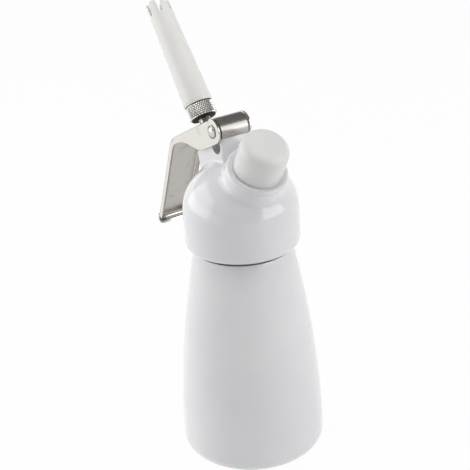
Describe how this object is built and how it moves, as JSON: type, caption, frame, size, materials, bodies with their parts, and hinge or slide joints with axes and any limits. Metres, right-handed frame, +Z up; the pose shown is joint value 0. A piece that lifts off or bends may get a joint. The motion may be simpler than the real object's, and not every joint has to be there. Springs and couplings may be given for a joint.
{
  "type": "whipped cream dispenser",
  "caption": "Hand-held cream whipper: tapered bottle, screwed-on domed head with a squeeze lever and spring valve, slanted toothed nozzle, and a capped inlet for a gas charger.",
  "frame": {"origin": "centre of the bottle's flat underside", "axes": "+Z up along the bottle, +X towards the charger inlet, Y along the lever's pivot; the lever's handle and the nozzle are on the -X side"},
  "size_m": [0.107, 0.07, 0.2158],
  "materials": {
    "white_paint": "smooth gloss",
    "polished_steel": "polished",
    "brass": "turned",
    "dark_rubber": "matte",
    "pale_silicone": "matte",
    "white_plastic": "satin"
  },
  "bodies": {
    "bottle": {"bottle": "white_paint"},
    "gasket": {"head_gasket": "pale_silicone"},
    "head": {"head": "white_paint", "pivot_bush": "white_plastic", "stem_guide": "brass", "stem_o_ring": "dark_rubber", "valve_seat": "brass", "valve_spring": "polished_steel", "inlet_nipple": "polished_steel", "inlet_gasket": "dark_rubber", "piercing_pin": "polished_steel", "charger_seal": "dark_rubber", "inlet_check_valve": "dark_rubber"},
    "lever": {"lever": "polished_steel", "pivot_pin": "polished_steel"},
    "stem": {"valve_stem": "brass", "stem_collar": "brass", "valve_seal": "dark_rubber", "seal_nut": "brass", "nozzle_adapter": "polished_steel", "adapter_washer": "dark_rubber", "nozzle_seal": "dark_rubber"},
    "nozzle": {"nozzle": "white_plastic"},
    "cap": {"charger_cap": "white_plastic", "cap_liner": "pale_silicone"}
  },
  "joints": [
    {"name": "head_rise", "type": "slide", "parent": "bottle", "child": "gasket", "axis": [0, 0, 1], "range_m": [0, 0.00601]},
    {"name": "head_turn", "type": "hinge", "parent": "gasket", "child": "head", "pos_m": [0, 0, 0.118], "axis": [0, 0, 1], "range_deg": [0, 540]},
    {"name": "lever_squeeze", "type": "hinge", "parent": "head", "child": "lever", "pos_m": [-0.0069, 0, 0.1654], "axis": [0, -1, 0], "range_deg": [0, 10], "stiffness_Nm_per_rad": 0.67, "springref_deg": -11.46},
    {"name": "stem_press", "type": "slide", "parent": "head", "child": "stem", "axis": [0.6225, 0, -0.7826], "range_m": [0, 0.0033], "deforming": ["valve_spring"]},
    {"name": "nozzle_pull", "type": "slide", "parent": "stem", "child": "nozzle", "axis": [-0.6225, 0, 0.7826], "range_m": [0, 0.01]},
    {"name": "cap_pull", "type": "slide", "parent": "head", "child": "cap", "axis": [0.5, 0, 0.866], "range_m": [0, 0.03]}
  ],
  "couplings": [
    {"joint": "head_rise", "follows": "head_turn", "m_per_rad": 0.00063662},
    {"joint": "stem_press", "follows": "lever_squeeze", "m_per_rad": 0.0183}
  ]
}
